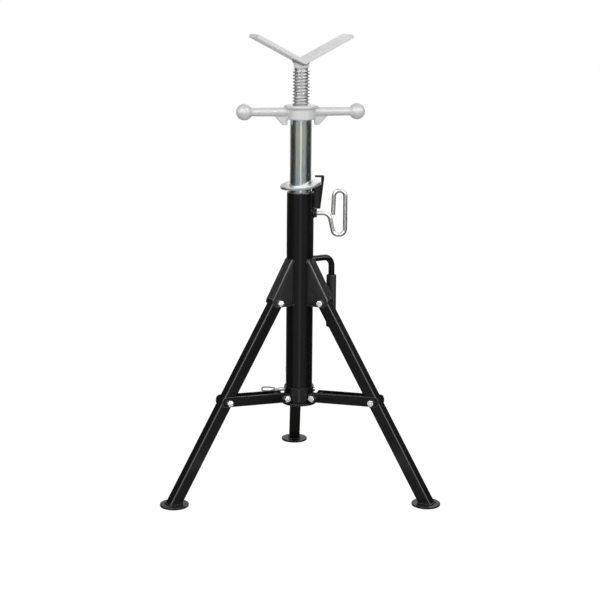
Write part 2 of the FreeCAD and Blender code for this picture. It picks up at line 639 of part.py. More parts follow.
def leg(number, azimuth):
    """One leg, drawn hanging straight down from its pivot and then swung out."""
    half = num("leg_width") / 2
    length = f"{leg_drop} + leg_width"
    top = num("leg_head")
    outside = primitive("Box", "leg_outside", Placement(Vector(num("leg_set_out") - half, -half, 0),
                        Rotation()), Length="leg_width", Width="leg_width",
                        Height=f"{length} + leg_head")
    outside.Placement.Base.z = top - num(f"{length} + leg_head")
    outside = rounded(outside, "leg_round", lambda edge: edge.Length > num("leg_width") * 2)
    hollow = primitive("Box", "leg_hollow", Length="leg_width - 2 * leg_wall",
                       Width="leg_width - 2 * leg_wall", Height=f"{length} + leg_head")
    bore = half - num("leg_wall")
    hollow.Placement.Base = Vector(num("leg_set_out") - bore, -bore, outside.Base.Placement.Base.z)
    hollow = rounded(hollow, "leg_round - leg_wall", lambda edge: edge.Length > num("leg_width") * 2)
    tube = cut(outside, hollow)
    keep_head = primitive("Cylinder", "leg_head", along_y(0, -num("leg_width"), 0),
                          Radius="leg_head", Height="2 * leg_width")
    keep_rest = primitive("Box", "leg_rest", Placement(Vector(-num("leg_width"), -num("leg_width"),
                          -num(length)), Rotation()), Length="3 * leg_width",
                          Width="2 * leg_width", Height=length)
    shaped = doc.addObject("Part::Common", "leg_shaped")
    shaped.Base = tube
    shaped.Tool = fuse("leg_keep", keep_head, keep_rest)
    swing = Placement(Vector(num("pivot_radius"), 0, num("pivot_level")), leg_slope)
    floor = primitive("Box", "leg_floor", Placement(Vector(0, -num("leg_width"),
                      num("foot_thick") - 4 * num("leg_width")), Rotation()),
                      Length="pivot_level + pivot_radius", Width="2 * leg_width",
                      Height="4 * leg_width")
    hole = primitive("Cylinder", "leg_hole", along_y(0, -num("leg_width"), 0),
                     Radius="bolt_dia / 2 + bolt_fit", Height="2 * leg_width")
    drilled = cut(shaped, hole)
    drilled.Placement = swing
    standing = cut(drilled, floor)
    standing.Placement = turned(azimuth)
    node(standing, f"leg_{number}")
    half_bush = num("leg_width / 2 - leg_wall")
    bush_place = turned(azimuth, num("pivot_radius"), -half_bush, num("pivot_level"))
    lay = Placement(Vector(), Rotation(Vector(1, 0, 0), -90))
    bush = primitive("Cylinder", "bush", bush_place.multiply(lay),
                     Radius="bush_dia / 2", Height="leg_width - 2 * leg_wall")
    bush_bore = primitive("Cylinder", "bush_bore", bush_place.multiply(lay),
                          Radius="bolt_dia / 2 + bolt_fit", Height="leg_width - 2 * leg_wall")
    node(cut(bush, bush_bore), f"leg_bush_{number}")
    foot = primitive("Cylinder", "foot", turned(azimuth, foot_radius),
                     Radius="foot_dia / 2", Height="foot_thick")
    node(rounded(foot, "foot_edge", lambda edge: edge.Curve.TypeId == "Part::GeomCircle"),
         f"foot_{number}")


for number, azimuth in enumerate(LEG_AZIMUTHS, start=1):
    leg(number, azimuth)

# Braces: channels open upwards, hinged to the collar and straddling the leg at the outer end.


def brace(number, azimuth):
    """One brace, drawn along X from its inner pivot and then placed."""
    body = doc.addObject("PartDesign::Body", f"strut_{number}")
    end = f"{brace_long} + brace_end"
    side = [
        ("0 - brace_below", "0"),
        ("0 - brace_below", "0 - brace_below"),
        (end, "0 - brace_below"),
        (end, "brace_above"),
        ("brace_slant", "brace_above"),
    ]
    pad(body, outline(body, "XZ_Plane", side), channel_outside)
    overrun = "4 * brace_above"
    inside = [
        (f"0 - {overrun}", "channel_wall - brace_below"),
        (f"{end} + {overrun}", "channel_wall - brace_below"),
        (f"{end} + {overrun}", overrun),
        (f"0 - {overrun}", overrun),
    ]
    pocket(body, outline(body, "XZ_Plane", inside), channel_inside)
    for start, stop in ((f"0 - {overrun}", "web_start"), (f"{brace_long} - web_stop", f"{end} + {overrun}")):
        gap = [
            (start, "0 - 2 * brace_below"),
            (stop, "0 - 2 * brace_below"),
            (stop, "0"),
            (start, "0"),
        ]
        pocket(body, outline(body, "XZ_Plane", gap), channel_inside)
    for along in ("0", str(brace_long)):
        pocket(body, circle(body, "XZ_Plane", along, "0", "bolt_dia / 2 + bolt_fit"),
               f"2 * ({channel_outside})")
    fillet(body, "brace_heel", lambda edge: crosswise(
        edge, -num("brace_below"), -num("brace_below")))
    for up in (-num("brace_below"), num("brace_above")):
        fillet(body, "brace_round", lambda edge: crosswise(edge, num(end), up))
    lean = Rotation(Vector(0, 1, 0), -brace_angle)
    inner = Placement(Vector(num("collar_pivot_radius"), 0, num("collar_pivot_level")), lean)
    body.Placement = turned(azimuth).multiply(inner)
    node(body, f"strut_{number}")
    half = num(channel_outside) / 2
    x = num("collar_pivot_radius") + brace_run
    z = num("collar_pivot_level") + brace_rise
    node(bolt(f"strut_bolt_{number}", x, -half, z, azimuth, "channel_wall + side_gap / 2"),
         f"strut_bolt_{number}")
    hexagonal = nut("outer_nut", x, half, z, azimuth)
    back = num("channel_wall + side_gap / 2")
    seat = turned(azimuth).multiply(along_y(x, half - back, z))
    stub = primitive("Cylinder", "outer_stub", seat, Radius="bolt_dia / 2",
                     Height="channel_wall + side_gap / 2 + nut_high + bolt_proud")
    node(fuse(f"strut_nut_{number}", hexagonal, stub), f"strut_nut_{number}")


for number, azimuth in enumerate(LEG_AZIMUTHS, start=1):
    brace(number, azimuth)

# Collar: slides on the upright tube and rests on the stop plate; three pairs of ears take the braces.

collar_foot = num("outer_tube_foot + stop_lift + stop_thick + collar_foot_gap")
sleeve_outside = "outer_tube_dia / 2 + collar_fit + collar_wall"
sleeve = primitive("Cylinder", "sleeve", turned(0, z=collar_foot), Radius=sleeve_outside,
                   Height=f"collar_top - {collar_foot}")
sleeve_bore = tube_clearance("sleeve_bore", "collar_fit")
lock_bore = primitive("Cylinder", "lock_bore", along_x(-2 * num(sleeve_outside), 0, num("lock_level")),
                      Radius="lock_dia / 2 + pin_fit", Height=f"2 * ({sleeve_outside})")
screw_bore = primitive("Cylinder", "screw_bore", along_x(0, 0, num("lock_level")),
                       Radius="screw_dia / 2", Height=f"2 * ({sleeve_outside})")
node(cut(sleeve, sleeve_bore, lock_bore, screw_bore), "collar_sleeve")


def ears(azimuth):
    """The two ears of one brace, side by side inside its flanges."""
    plates = []
    outer = num(channel_inside) / 2 - num("side_gap")
    for start in (-outer, outer - num("ear_thick")):
        at = turned(azimuth, 0, start, 0)
        lay = Placement(Vector(), Rotation(Vector(1, 0, 0), -90))
        disc_at = turned(azimuth, num("collar_pivot_radius"), start, num("collar_pivot_level"))
        disc = primitive("Cylinder", "ear_disc", disc_at.multiply(lay),
                         Radius="ear_round", Height="ear_thick")
        low = num("collar_pivot_level - ear_round")
        arm = primitive("Box", "ear_arm", at.multiply(Placement(Vector(0, 0, low), Rotation())),
                        Length="collar_pivot_radius", Width="ear_thick", Height="2 * ear_round")
        hole = primitive("Cylinder", "ear_hole", disc_at.multiply(lay),
                         Radius="bolt_dia / 2", Height="ear_thick")
        trim = primitive("Cylinder", "ear_trim", Radius=sleeve_outside, Height="collar_top * 2")
        plates.append(cut(fuse("ear", disc, arm), hole, trim))
    return plates


group("collar_ears", *[plate for azimuth in LEG_AZIMUTHS for plate in ears(azimuth)])

screw_shank = primitive("Cylinder", "guide_screw", along_x(num("outer_tube_dia / 2 + collar_fit"), 0,
                        num("lock_level")), Radius="screw_dia / 2",
                        Height="collar_wall + screw_head")
node(screw_shank, "collar_screw")

# Lock pin: drawn back, its tip just clear of the upright tube; a wire loop pulls it.

tip = num("outer_tube_dia / 2 + lock_tip_gap")
head_in = num(f"{sleeve_outside} + lock_throw + lock_tip_gap")
head_out = head_in + num("lock_head_long")
shank = primitive("Cylinder", "lock_shank", along_x(-head_out, 0, num("lock_level")),
                  Radius="lock_dia / 2", Height=f"{head_out} - {tip}")
lock_head = primitive("Cylinder", "lock_head", along_x(-head_out, 0, num("lock_level")),
                      Radius="lock_head_dia / 2", Height="lock_head_long")
node(fuse("lock_pin", shank, lock_head), "lock_pin")

loop_half = num("clip_height") / 2
loop_start = -head_out - num("clip_reach") / 2
loop_points = [
    Vector(-head_out, 0, num("lock_level")),
    Vector(-head_out - num("2 * clip_wire"), 0, num("lock_level")),
    Vector(loop_start, 0, num("lock_level") - loop_half),
    Vector(-head_out - num("clip_reach"), 0, num("lock_level") - loop_half),
    Vector(-head_out - num("clip_reach"), 0, num("lock_level") + loop_half),
    Vector(loop_start - num("clip_wire"), 0, num("lock_level") + loop_half),
]
loop_bends = [num("2 * clip_wire"), num("2 * clip_wire"), num("clip_bend"), num("clip_bend")]
node(bent_rod("lock_clip", num("clip_wire"), loop_points, loop_bends), "lock_clip")

# Jack screw: a trapezoidal thread on a solid core, with a plain neck welded under the head.

core = "thread_dia / 2 - thread_deep"
screw_ridge = helical_ridge("screw_ridge", num("screw_foot"), num("screw_top"), 0, 0)
screw_core = primitive("Cylinder", "screw_core", turned(0, z=num("screw_foot - thread_pitch / 2")),
                       Radius=core, Height="screw_top - screw_foot + thread_pitch")
node(fuse("jack_screw", screw_core, screw_ridge), "jack_screw")

# Head: one thick plate bent to a V across the screw.

head = doc.addObject("PartDesign::Body", "v_head")
rise = "head_span * tan(head_slope)"
below = "head_plate / cos(head_slope)"
head_side = [
    ("0", "head_vertex"),
    ("head_span", f"head_vertex + {rise}"),
    ("head_span + head_plate * sin(head_slope)", f"head_vertex + {rise} - head_plate * cos(head_slope)"),
    ("0", f"head_vertex - {below}"),
    ("0 - head_span - head_plate * sin(head_slope)", f"head_vertex + {rise} - head_plate * cos(head_slope)"),
    ("0 - head_span", f"head_vertex + {rise}"),
]
pad(head, outline(head, "XZ_Plane", head_side), "head_width")
fillet(head, "head_plate", lambda edge: crosswise(edge, 0, num(f"head_vertex - {below}")))
head.Placement = turned(num("head_turn"))
node(head, "v_head")

neck_foot = num("screw_top + thread_pitch / 2")
neck_top = num(f"head_vertex - {below} + neck_dia / 2 * tan(head_slope)")
neck = primitive("Cylinder", "neck", turned(0, z=neck_foot), Radius="neck_dia / 2",
                 Height=f"{neck_top} - {neck_foot}")
node(cut(neck, head), "screw_neck")

# Jack nut: a casting with two ball-ended arms; its socket turns on the end of the mast.

hub = primitive("Cylinder", "hub", turned(0, z=num("nut_foot")), Radius="nut_hub_dia / 2",
                Height="nut_top - nut_foot")
rim = primitive("Cylinder", "rim", turned(0, z=num("nut_top - nut_rim_thick")),
                Radius="nut_rim_dia / 2", Height="nut_rim_thick")
rim = rounded(rim, "nut_rim_thick / 4", lambda edge: edge.Curve.TypeId == "Part::GeomCircle")
nut_parts = [hub, rim]
arm_start = num("nut_hub_dia / 2 - 2 * root_sink")
for side in (0, 180):
    spin = turned(num("nut_turn") + side)
    arm = primitive("Cone", "arm", spin.multiply(along_x(arm_start, 0, num("nut_arm_level"))),
                    Radius1="nut_arm_root / 2", Radius2="nut_arm_tip / 2",
                    Height=f"nut_ball_radius - {arm_start}")
    ball = primitive("Sphere", "ball", spin.multiply(Placement(
        Vector(num("nut_ball_radius"), 0, num("nut_arm_level")), Rotation())), Radius="nut_ball_dia / 2")
    fin = doc.addObject("PartDesign::Body", "fin")
    fin_side = [
        ("nut_hub_dia / 2 - root_sink", "nut_arm_level"),
        ("fin_out", "nut_arm_level - fin_tail_top"),
        ("fin_out", "nut_arm_level - fin_tail_foot"),
        ("fin_mid", "fin_foot"),
        ("fin_in", "fin_foot"),
        ("nut_hub_dia / 2 - root_sink", "nut_foot + root_sink"),
    ]
    pad(fin, outline(fin, "XZ_Plane", fin_side), "fin_thick")
    fin.Placement = spin
    nut_parts += [arm, ball, fin]
seat_level = num("mast_top + nut_seat_gap")
socket = primitive("Cylinder", "nut_socket", turned(0, z=num("fin_foot")),
                   Radius="mast_dia / 2 + nut_socket_gap", Height=f"{seat_level} - fin_foot")
wide_bore = primitive("Cylinder", "nut_wide_bore", turned(0, z=num("fin_foot")),
                      Radius="thread_dia / 2 + thread_deep", Height="nut_top")
casting = cut(fuse("nut_casting", *nut_parts), wide_bore, socket)

turns = math.floor((seat_level - num("screw_foot")) / num("thread_pitch")) - 1
groove_foot = num("screw_foot") + turns * num("thread_pitch")
groove_turns = math.ceil((num("nut_top") - groove_foot) / num("thread_pitch")) + 1
groove_top = groove_foot + groove_turns * num("thread_pitch")
nut_groove = helical_ridge("nut_groove", groove_foot, groove_top, num("thread_round_gap"),
                           num("thread_flank_gap"))
minor = primitive("Cylinder", "nut_minor", turned(0, z=num("nut_foot")),
                  Radius=f"{core} + thread_round_gap", Height="2 * (nut_top - nut_foot)")
thread_wall = primitive("Cylinder", "nut_thread", turned(0, z=seat_level),
                        Radius="thread_dia / 2 + thread_deep", Height=f"nut_top - {seat_level}")
node(fuse("jack_nut", casting, cut(thread_wall, nut_groove, minor)), "jack_nut")

# Every feature must have rebuilt, and every node must be a sound solid, before anything is written.

doc.recompute()
failed = [part.Label for part in doc.Objects if "Invalid" in part.State or "Error" in part.State]
if failed:
    raise RuntimeError(f"not rebuilt: {failed}")
for part in nodes:
    if part.Shape.isNull() or not part.Shape.isValid() or not part.Shape.Solids:
        raise RuntimeError(f"{part.Label} is not a sound solid")

os.makedirs("parts", exist_ok=True)
for part in nodes:
    part.Shape.exportStep(f"parts/{part.Label}.step")
    box = part.Shape.BoundBox
    print(f"{part.Label}: {len(part.Shape.Solids)} solids, {part.Shape.Volume:.0f} mm3, "
          f"Z {box.ZMin:.1f} to {box.ZMax:.1f}")
print(f"collar travel {collar_travel:.3f} mm, brace turn {brace_angle:.3f} deg down to "
      f"{-math.degrees(math.atan2(folded_rise, folded_run)):.3f} deg, brace {brace_long:.3f} mm")
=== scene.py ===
import math

import bmesh
import bpy
from mathutils import Matrix, Vector


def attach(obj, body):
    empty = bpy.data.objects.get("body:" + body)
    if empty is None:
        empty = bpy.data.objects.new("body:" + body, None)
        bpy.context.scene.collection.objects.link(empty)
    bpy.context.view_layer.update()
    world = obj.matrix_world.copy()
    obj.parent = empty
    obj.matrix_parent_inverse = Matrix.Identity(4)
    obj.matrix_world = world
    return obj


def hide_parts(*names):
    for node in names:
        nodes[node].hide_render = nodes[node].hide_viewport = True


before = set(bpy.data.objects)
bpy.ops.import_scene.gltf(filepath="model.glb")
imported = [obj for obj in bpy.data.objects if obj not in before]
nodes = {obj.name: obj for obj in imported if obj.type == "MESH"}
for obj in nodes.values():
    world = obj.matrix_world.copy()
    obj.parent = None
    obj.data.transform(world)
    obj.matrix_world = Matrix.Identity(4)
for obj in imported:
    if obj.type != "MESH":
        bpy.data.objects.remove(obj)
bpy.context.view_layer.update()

# ---- Studio
# A white floor that runs out of sight under a white room, two large soft lamps and a weaker one
# behind, and a camera a little above the middle of the stand, looking slightly down.


def placed(name, data):
    """A new object in the scene, at the origin."""
    thing = bpy.data.objects.new(name, data)
    bpy.context.scene.collection.objects.link(thing)
    return thing


camera = placed("camera", bpy.data.cameras.new("camera"))
bpy.context.scene.camera = camera
camera_way = math.radians(1.91)
camera_far = 3.2
camera_high = 1.11
looking_down = 9.92
camera_tilt = 0.44
camera.location = (-camera_far * math.sin(camera_way), -camera_far * math.cos(camera_way),
                   camera_high)
camera.rotation_euler = (Matrix.Rotation(-camera_way, 3, "Z")
                         @ Matrix.Rotation(math.radians(90 - looking_down), 3, "X")
                         @ Matrix.Rotation(math.radians(camera_tilt), 3, "Z")).to_euler()
camera.data.sensor_width = 36
camera.data.lens = 86.87
camera.data.shift_y = -0.083
camera.data.clip_end = 50

lamp_aim = Vector((0, 0, 0.55))
for name, spot, power, size in (("left", (-1.5, -2.6, 2.6), 30, 0.9),
                                ("right", (1.7, -2.5, 2.5), 26, 0.9),
                                ("back", (0.6, 2.4, 2.2), 22, 1.6)):
    lamp = placed(name, bpy.data.lights.new(name, "AREA"))
    lamp.data.energy = power
    lamp.data.size = size
    lamp.location = spot
    lamp.rotation_euler = (Vector(spot) - lamp_aim).to_track_quat("Z", "Y").to_euler()
    lamp.visible_camera = False

bpy.context.scene.view_settings.view_transform = "Standard"


class Wire:
    """An output in a tree of nodes. Arithmetic on it adds Math nodes."""

    def __init__(self, tree, socket=None):
        self.tree = tree
        self.socket = socket

    def add(self, kind, settings, sockets, out=0):
        """Adds a node: its settings come first, then the values or wires of its sockets."""
        made = self.tree.nodes.new(kind)
        for name, setting in settings.items():
            if name == "stops":
                ramp = made.color_ramp.elements
                for place, _ in setting[2:]:
                    ramp.new(place)
                for stop, (place, colour) in zip(ramp, sorted(setting)):
                    stop.position = place
                    stop.color = (*colour, 1)
            else:
                setattr(made, name, setting)
        for name, value in sockets.items():
            if isinstance(value, Wire):
                self.tree.links.new(value.socket, made.inputs[name])
            else:
                made.inputs[name].default_value = value
        return Wire(self.tree, made.outputs[out])

    def maths(self, operation, *terms):
        return self.add("ShaderNodeMath", {"operation": operation}, dict(enumerate(terms)))

    def __add__(self, other):
        return self.maths("ADD", self, other)

    def __sub__(self, other):
        return self.maths("SUBTRACT", self, other)

    def __rsub__(self, other):
        return self.maths("SUBTRACT", other, self)

    def __mul__(self, other):
        return self.maths("MULTIPLY", self, other)

    def __truediv__(self, other):
        return self.maths("DIVIDE", self, other)

    def __rtruediv__(self, other):
        return self.maths("DIVIDE", other, self)

    __radd__ = __add__
    __rmul__ = __mul__


def to_plain_white(tree):
    """1 for the rays that should see a plain white room: the camera's and mirror-like ones."""
    rays = tree.nodes.new("ShaderNodeLightPath")
    seen = (Wire(tree, rays.outputs["Is Camera Ray"]) + Wire(tree, rays.outputs["Is Glossy Ray"])
            + Wire(tree, rays.outputs["Is Transmission Ray"]))
    return seen.maths("MINIMUM", seen, 1.0)


world = bpy.data.worlds.new("room")
bpy.context.scene.world = world
world.use_nodes = True
room_light = 0.6
room = world.node_tree.nodes["Background"]
room.inputs["Color"].default_value = (1, 1, 1, 1)
strength = to_plain_white(world.node_tree) * (1 - room_light) + room_light
world.node_tree.links.new(strength.socket, room.inputs["Strength"])


def new_backing(name):
    """An empty material that is never sampled as a lamp, and a wire in its tree."""
    material = bpy.data.materials.new(name)
    material.use_nodes = True
    material.cycles.emission_sampling = "NONE"
    tree = material.node_tree
    tree.nodes.remove(tree.nodes["Principled BSDF"])
    return material, Wire(tree)


def cover(thing, material, shader):
    """Puts a shader on the material's surface, and the material on the thing."""
    surface = material.node_tree.nodes["Material Output"].inputs["Surface"]
    material.node_tree.links.new(shader.socket, surface)
    thing.data.materials.append(material)


floor_under_soles = 0.0004
floor_glow = 1.08
glow_share = 0.88
bpy.ops.object.select_all(action="DESELECT")
bpy.ops.mesh.primitive_circle_add(vertices=96, radius=7, fill_type="NGON", location=(0, 0, 0))
floor = bpy.context.object
floor.name = "floor"
floor.data.transform(Matrix.Translation((0, 0, -floor_under_soles)))
floor_paint, paint = new_backing("floor_paint")
matt = paint.add("ShaderNodeBsdfDiffuse", {}, {"Color": (0.9, 0.9, 0.9, 1)})
glow = paint.add("ShaderNodeEmission", {}, {"Color": (1, 1, 1, 1), "Strength": floor_glow})
glowing = to_plain_white(floor_paint.node_tree) * glow_share
cover(floor, floor_paint, paint.add("ShaderNodeMixShader", {}, {0: glowing, 1: matt, 2: glow}))

# ---- Drape
# A dark drape round the stand, seen only by mirror-like rays, so that black paint stays black and
# bright metal has something dark beside the light. Its lower rim is drawn in as a dark ground,
# and two soft boxes hang on it.

drape_high = 5
bpy.ops.object.select_all(action="DESELECT")
bpy.ops.mesh.primitive_cylinder_add(vertices=96, radius=5, depth=drape_high,
                                    end_fill_type="NOTHING", location=(0, 0, drape_high / 2))
drape = bpy.context.object
drape.name = "dark_drape"
bpy.ops.object.transform_apply(location=True, rotation=True, scale=True)
bpy.ops.object.mode_set(mode="EDIT")
bpy.ops.mesh.select_mode(type="EDGE")
bpy.ops.mesh.select_all(action="DESELECT")
bpy.ops.object.mode_set(mode="OBJECT")
for rim in drape.data.edges:
    rim.select = all(drape.data.vertices[end].co.z < 0.01 for end in rim.vertices)
bpy.ops.object.mode_set(mode="EDIT")
bpy.ops.mesh.extrude_region_move(TRANSFORM_OT_translate={"value": (0, 0, 0.001)})
bpy.ops.transform.resize(value=(0.03, 0.03, 1), center_override=(0, 0, 0))
bpy.ops.object.mode_set(mode="OBJECT")

cloth, paint = new_backing("dark_cloth")
here = paint.add("ShaderNodeTexCoord", {}, {}, out="Object")
apart = paint.add("ShaderNodeSeparateXYZ", {}, {"Vector": here})
east, north, height = (Wire(cloth.node_tree, apart.socket.node.outputs[axis]) for axis in "XYZ")
turned_from_front = east.maths("ARCTAN2", east, north * -1)
round_about = east.maths("ABSOLUTE", turned_from_front) / math.pi
front = [(0, (1.0, 1.0, 1.0)), (0.035, (1.0, 1.0, 1.0)), (0.06, (0.31, 0.32, 0.33)),
         (0.25, (0.38, 0.39, 0.39)), (0.37, (0.035, 0.035, 0.035))]
wall_behind = [(0.68, (0.05, 0.05, 0.05)), (0.76, (0.5, 0.49, 0.47)), (1, (0.66, 0.66, 0.66))]
ground_behind = [(0.68, (0.03, 0.03, 0.03)), (0.78, (0.17, 0.145, 0.12)), (1, (0.12, 0.11, 0.1))]
wall, ground = (paint.add("ShaderNodeValToRGB", {"stops": front + behind}, {0: round_about})
                for behind in (wall_behind, ground_behind))


def within(value, low, high):
    """1 between low and high, 0 elsewhere."""
    return value.maths("GREATER_THAN", value, low) * value.maths("LESS_THAN", value, high)


def tint(mask, without, with_mask):
    """A colour that goes from one to the other as the mask goes from 0 to 1."""
    return mask.add("ShaderNodeMix", {"data_type": "RGBA"}, {0: mask, 6: without, 7: with_mask},
                    out=2)


box_ways = (0.05, 0.48)
box_levels = (1.6, 4.2)
box_gain = 4.5
low_part = height.maths("LESS_THAN", height, 0.005)
soft_box = within(round_about, *box_ways) * within(height, *box_levels)
shade = tint(soft_box, tint(low_part, wall, ground), (1, 1, 1, 1))
cover(drape, cloth, paint.add("ShaderNodeEmission", {},
                              {"Color": shade, "Strength": 1 + soft_box * box_gain}))
for ray in ("camera", "diffuse", "transmission", "shadow", "volume_scatter"):
    setattr(drape, f"visible_{ray}", False)

# ---- Upright tube and its stop plate
# Steel tube in black powder coat, with the flat round stop plate welded round its lower end.
# The coat is glossy and faintly dimpled, with a painted highlight along the sharp edges: a lighter
# colour there.


def new_finish(name):
    """An empty material and a wire from its Object coordinates."""
    material = bpy.data.materials.new(name)
    material.use_nodes = True
    place = Wire(material.node_tree).add("ShaderNodeTexCoord", {}, {}, out="Object")
    return material, place


def settle(material, **sockets):
    """Puts values or wires on the sockets of the material's shader."""
    shader = material.node_tree.nodes["Principled BSDF"]
    for name, value in sockets.items():
        socket = shader.inputs[name.replace("_", " ")]
        if isinstance(value, Wire):
            material.node_tree.links.new(value.socket, socket)
        else:
            socket.default_value = value
    return material


def noise(place, scale, detail, stretch=(1, 1, 1)):
    """Soft noise from 0 to 1, about 1/scale metres across, drawn out along an axis by stretch."""
    spread = place.add("ShaderNodeMapping", {}, {"Vector": place, "Scale": stretch})
    return place.add("ShaderNodeTexNoise", {},
                     {"Vector": spread, "Scale": scale, "Detail": detail})


def sharpen(value, low, high):
    """0 below low, 1 above high, and smooth between."""
    return value.add("ShaderNodeMapRange", {"interpolation_type": "SMOOTHSTEP"},
                     {"Value": value, "From Min": low, "From Max": high})


def rounded(place, radius):
    """Normals rounded over the sharp edges."""
    return place.add("ShaderNodeBevel", {"samples": 6}, {"Radius": radius})


def near_edges(soft):
    """A mask of the places where rounded normals leave the flat ones."""
    flat = soft.add("ShaderNodeNewGeometry", {}, {}, out="Normal")
    alike = soft.add("ShaderNodeVectorMath", {"operation": "DOT_PRODUCT"}, {0: soft, 1: flat},
                     out="Value")
    return sharpen(1 - alike, 0.02, 0.2)


def relief(height, strength, **soft):
    """Normals roughened by a height of 0.3 mm, on top of rounded ones where those are given."""
    return height.add("ShaderNodeBump", {},
                      {"Strength": strength, "Distance": 0.0003, "Height": height, **soft})


def coat(name, near, far, rounding, rough, painted_edge_highlight=0.2, gloss=0.44):
    """Black powder coat, clouded between two blacks, with a painted highlight of a lighter colour
    on sharp edges.
    """
    material, place = new_finish(name)
    soft = rounded(place, rounding)
    cloudy = noise(place, 15, 4)
    # Painted highlight: near sharp edges the base colour is lightened, standing in for the bright
    # lines that lamps leave on rounded edges.
    painted_highlight_mask = near_edges(soft) * sharpen(noise(place, 55, 5), 0.2, 0.6)
    dark = tint(cloudy, (near, near, near * 1.05, 1), (far, far, far * 1.05, 1))
    return settle(material, Base_Color=tint(painted_highlight_mask, dark, (painted_edge_highlight, painted_edge_highlight, painted_edge_highlight, 1)),
                  Roughness=rough + cloudy * 0.13, Specular_IOR_Level=gloss,
                  Normal=relief(noise(place, 650, 2), 0.08, Normal=soft))


def dress(thing, material):
    """Gives a thing one material in place of what it wears."""
    thing.data.materials.clear()
    thing.data.materials.append(material)


# Its sharp edges get a painted highlight of colour 0.3.
black_coat = coat("black_powder_coat", near=0.003, far=0.0065, rounding=0.0022, rough=0.12,
                  painted_edge_highlight=0.3, gloss=0.28)
dress(nodes["outer_tube"], black_coat)


def only(thing):
    """Selects one object and makes it the active one."""
    bpy.ops.object.select_all(action="DESELECT")
    thing.select_set(True)
    bpy.context.view_layer.objects.active = thing


def opened_copy(node, name):
    """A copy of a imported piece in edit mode, its loose triangles merged into one skin."""
    piece = placed(name, nodes[node].data.copy())
    only(piece)
    bpy.ops.object.mode_set(mode="EDIT")
    bpy.ops.mesh.select_all(action="SELECT")
    bpy.ops.mesh.remove_doubles(threshold=0.00001)
    return piece


def close_copy():
    """Leaves edit mode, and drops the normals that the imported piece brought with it."""
    bpy.ops.object.mode_set(mode="OBJECT")
    bpy.ops.mesh.customdata_custom_splitnormals_clear()


def round_edges(piece, width, segments, over):
    """Rounds those edges of the active piece that turn by more than an angle in degrees."""
    ease = piece.modifiers.new("ease", "BEVEL")
    ease.width = width
    ease.segments = segments
    ease.limit_method = "ANGLE"
    ease.angle_limit = math.radians(over)
    bpy.ops.object.modifier_apply(modifier="ease")


smooth_under = math.radians(32)
shortest_bend = 0.02


def eased(name, easing, material, body, way=0, bend=0, is_bend=None):
    """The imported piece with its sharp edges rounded, as rolling, pressing and coating leave them.

    The edges where sheet is bent get the bend's own size first: is_bend tells them by the normals
    of their two faces and by their middle, with the piece turned back by its way round the axis.
    """
    piece = opened_copy(name, f"{name}_eased")
    bpy.ops.mesh.dissolve_limited(angle_limit=math.radians(0.5))
    if is_bend:
        bpy.ops.mesh.select_mode(type="EDGE")
        bpy.ops.mesh.select_all(action="DESELECT")
        sheet = bmesh.from_edit_mesh(piece.data)
        straight = Matrix.Rotation(math.radians(-way), 3, "Z")
        for line in sheet.edges:
            if len(line.link_faces) == 2 and line.calc_length() > shortest_bend:
                flank, face = sorted((straight @ side.normal for side in line.link_faces),
                                     key=lambda normal: -abs(normal.y))
                middle = straight @ ((line.verts[0].co + line.verts[1].co) / 2)
                line.select_set(is_bend(flank, face, middle))
        sheet.select_flush_mode()
        bmesh.update_edit_mesh(piece.data)
        bpy.ops.mesh.bevel(offset=bend, segments=6)
    close_copy()
    round_edges(piece, easing, segments=3, over=40)
    bpy.ops.object.shade_smooth_by_angle(angle=smooth_under)
    dress(piece, material)
    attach(piece, body)
    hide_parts(name)
    return piece


def weld(name, path, radius, material, body, closed=False):
    """A weld bead along a path: overlapping ripples, one every two points."""
    line = bpy.data.curves.new(name, "CURVE")
    line.dimensions = "3D"
    line.bevel_depth = radius
    line.bevel_resolution = 2
    line.use_fill_caps = not closed
    run = line.splines.new("POLY")
    run.points.add(len(path) - 1)
    run.use_cyclic_u = closed
    for step, (point, spot) in enumerate(zip(run.points, path)):
        point.co = (*spot, 1)
        point.radius = (0.86, 1.12)[step % 2]
    bead = placed(name, line)
    only(bead)
    bpy.ops.object.convert(target="MESH")
    bpy.ops.object.shade_smooth()
    dress(bead, material)
    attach(bead, body)


def steps(count):
    """Evenly spaced numbers from 0 to just under 1."""
    return [step / count for step in range(count)]


def on_circle(radius, turn, level):
    """The point at an angle in radians on a level circle round the axis."""
    return Vector((radius * math.cos(turn), radius * math.sin(turn), level))


tube_round = 0.03015
bead_round = 0.0306
stop_top = 0.1886
weld("stop_weld", [on_circle(bead_round, turn * math.tau, stop_top) for turn in steps(120)],
     0.0012, black_coat, "upright", closed=True)
eased("base_stop", 0.0008, black_coat, "upright")

# ---- Leg brackets
# Three bent steel channels, black like the tube, each round the head of one leg. A bead runs down
# each flange where it meets the tube, and one crosses the top of the web.

# Its sharp edges get the painted highlight at the coat's default colour of 0.2.
sheet_coat = coat("black_sheet_coat", near=0.014, far=0.026, rounding=0.0016, rough=0.18)
leg_ways = (-150, -30, 90)
flange_out = 0.016
seam_out = math.sqrt(tube_round ** 2 - flange_out ** 2) + 0.0006
seam_side = flange_out + 0.0005
seam_top, seam_long = 0.5195, 0.0985
web_bead_level = 0.5233
web_bead_turns = [math.radians(60 * part - 30) for part in steps(21)]


def channel_bend(outward):
    """Tells the two long bends of a channel, between its flanks and the web that faces outward."""
    def is_bend(flank, face, middle):
        return (abs(flank.y) > 0.99 and abs(middle.y) > flange_out - 0.0005
                and face.dot(Vector(outward)) > 0.7)
    return is_bend


